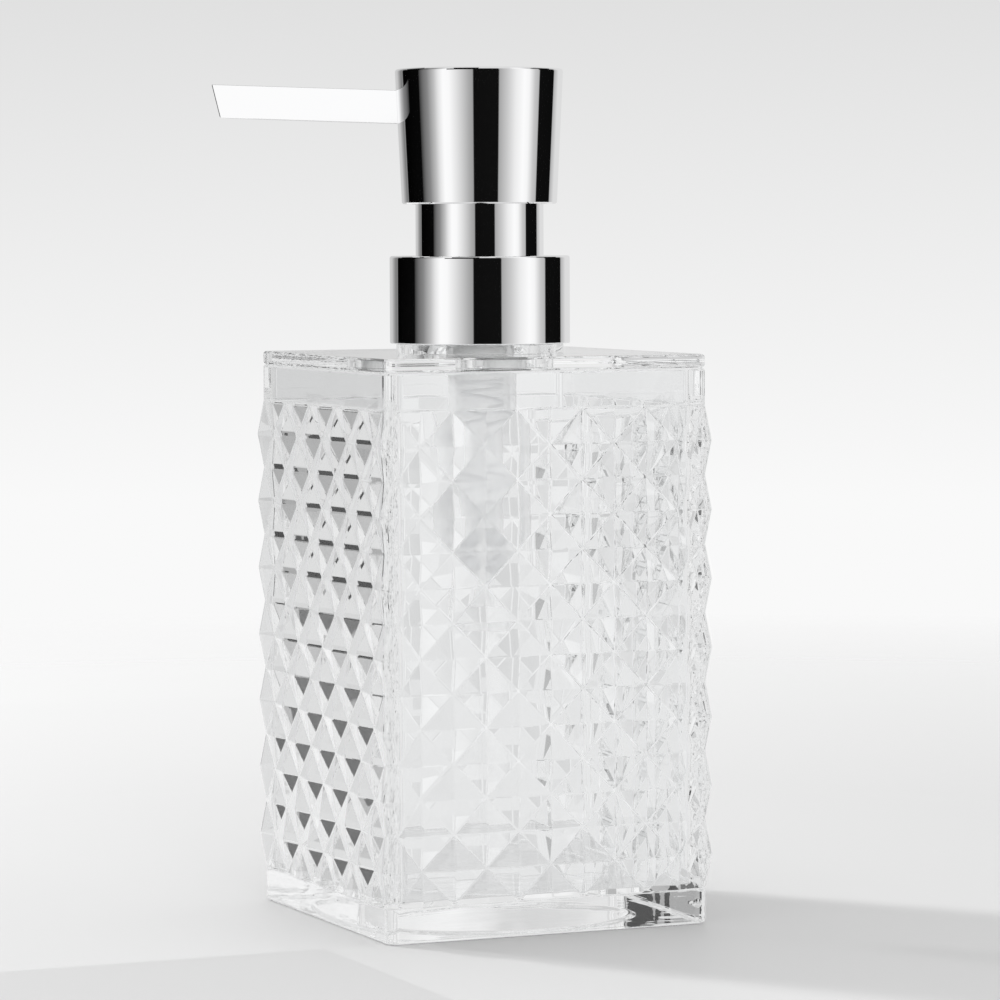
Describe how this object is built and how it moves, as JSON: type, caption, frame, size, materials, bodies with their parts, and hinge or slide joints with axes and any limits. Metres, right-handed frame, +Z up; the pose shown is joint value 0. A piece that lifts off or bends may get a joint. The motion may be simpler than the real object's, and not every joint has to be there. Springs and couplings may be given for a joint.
{
  "type": "soap pump dispenser",
  "caption": "Square clear bottle with diamond-cut faces, screw-on chrome pump with a conical head and a straight bar spout.",
  "frame": {"origin": "middle of the bottle's flat underside", "axes": "+Z up along the pump's axis; the bottle's flat faces lie across X and Y; at rest the spout points out over the -X side, swivelled 35 degrees towards +Y"},
  "size_m": [0.0863, 0.0742, 0.1784],
  "materials": {
    "clear_body": "polished clear",
    "clear_lid": "polished clear",
    "chrome_plate": "mirror polish",
    "white_plastic": "moulded",
    "milky_plastic": "moulded, translucent",
    "tube_plastic": "extruded, nearly clear",
    "soft_seal": "smooth",
    "dark_seal": "smooth",
    "spring_wire": "drawn wire",
    "ball_steel": "ground"
  },
  "bodies": {
    "bottle": {"bottle_body": "clear_body", "bottle_lid": "clear_lid"},
    "pump": {"pump_housing": "milky_plastic", "neck_gasket": "soft_seal", "lock_ring": "white_plastic", "stem_wiper": "dark_seal", "spring_seat": "milky_plastic", "return_spring": "spring_wire", "dip_tube": "tube_plastic"},
    "inlet_valve": {"inlet_ball": "ball_steel"},
    "closure": {"closure_cap": "white_plastic", "collar_shell": "chrome_plate", "neck_sleeve": "chrome_plate"},
    "plunger": {"piston_seal": "soft_seal"},
    "head": {"pump_stem": "white_plastic", "stem_plug": "milky_plastic", "head_core": "white_plastic", "head_shell": "chrome_plate", "spout_shell": "chrome_plate", "spout_liner": "milky_plastic", "nozzle_insert": "white_plastic"},
    "outlet_valve": {"outlet_ball": "ball_steel"}
  },
  "joints": [
    {"name": "pump_lift", "type": "slide", "parent": "bottle", "child": "pump", "axis": [0, 0, 1], "range_m": [0, 0.0053]},
    {"name": "closure_unscrew", "type": "hinge", "parent": "pump", "child": "closure", "pos_m": [0, 0, 0.125], "axis": [0, 0, 1], "range_deg": [0, 450]},
    {"name": "head_press", "type": "slide", "parent": "pump", "child": "plunger", "axis": [0, 0, -1], "range_m": [0, 0.0105], "stiffness_N_per_m": 600, "springref_m": -0.015, "deforming": ["return_spring"]},
    {"name": "head_swivel", "type": "hinge", "parent": "plunger", "child": "head", "pos_m": [0, 0, 0.16], "axis": [0, 0, 1], "continuous": true},
    {"name": "inlet_lift", "type": "slide", "parent": "pump", "child": "inlet_valve", "axis": [0, 0, 1], "range_m": [0, 0.001]},
    {"name": "outlet_lift", "type": "slide", "parent": "head", "child": "outlet_valve", "axis": [0, 0, 1], "range_m": [0, 0.001]}
  ],
  "couplings": [
    {"joint": "pump_lift", "follows": "closure_unscrew", "m_per_rad": 0.00067322}
  ]
}
